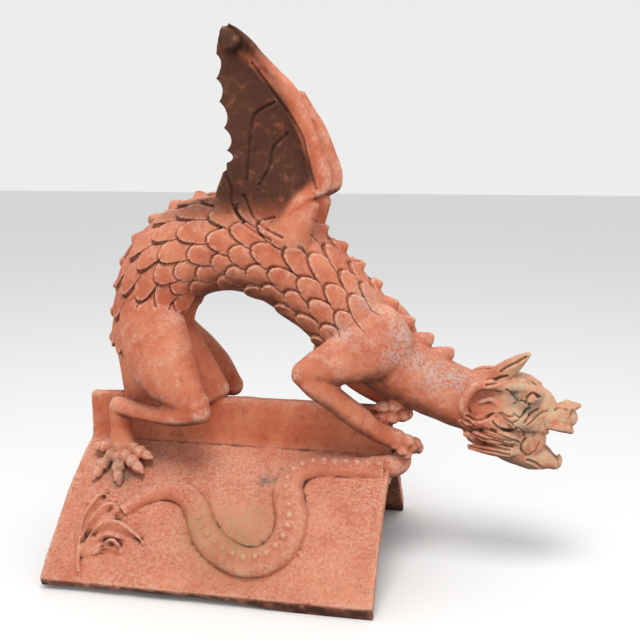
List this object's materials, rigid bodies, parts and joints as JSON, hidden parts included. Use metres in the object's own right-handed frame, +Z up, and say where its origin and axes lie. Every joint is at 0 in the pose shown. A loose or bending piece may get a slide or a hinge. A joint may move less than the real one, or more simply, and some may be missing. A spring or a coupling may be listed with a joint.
{
  "type": "terracotta ridge tile with a dragon ornament",
  "caption": "Inverted-V ridge tile with an upright crest and a crouching winged dragon moulded along it, one fired terracotta piece.",
  "frame": {"origin": "on the floor, under the middle of the bounding box, at the height of the tile's two feet", "axes": "+X along the ridge towards the dragon's head, +Y across the ridge away from the slope that carries the tail's loop, +Z up"},
  "size_m": [0.7182, 0.384, 0.757],
  "materials": {
    "terracotta": "unglazed red-orange fired clay, weathered, with soot, lichen and pale bloom"
  },
  "bodies": {
    "root": {"dragon_ridge_tile": "terracotta"}
  },
  "joints": []
}
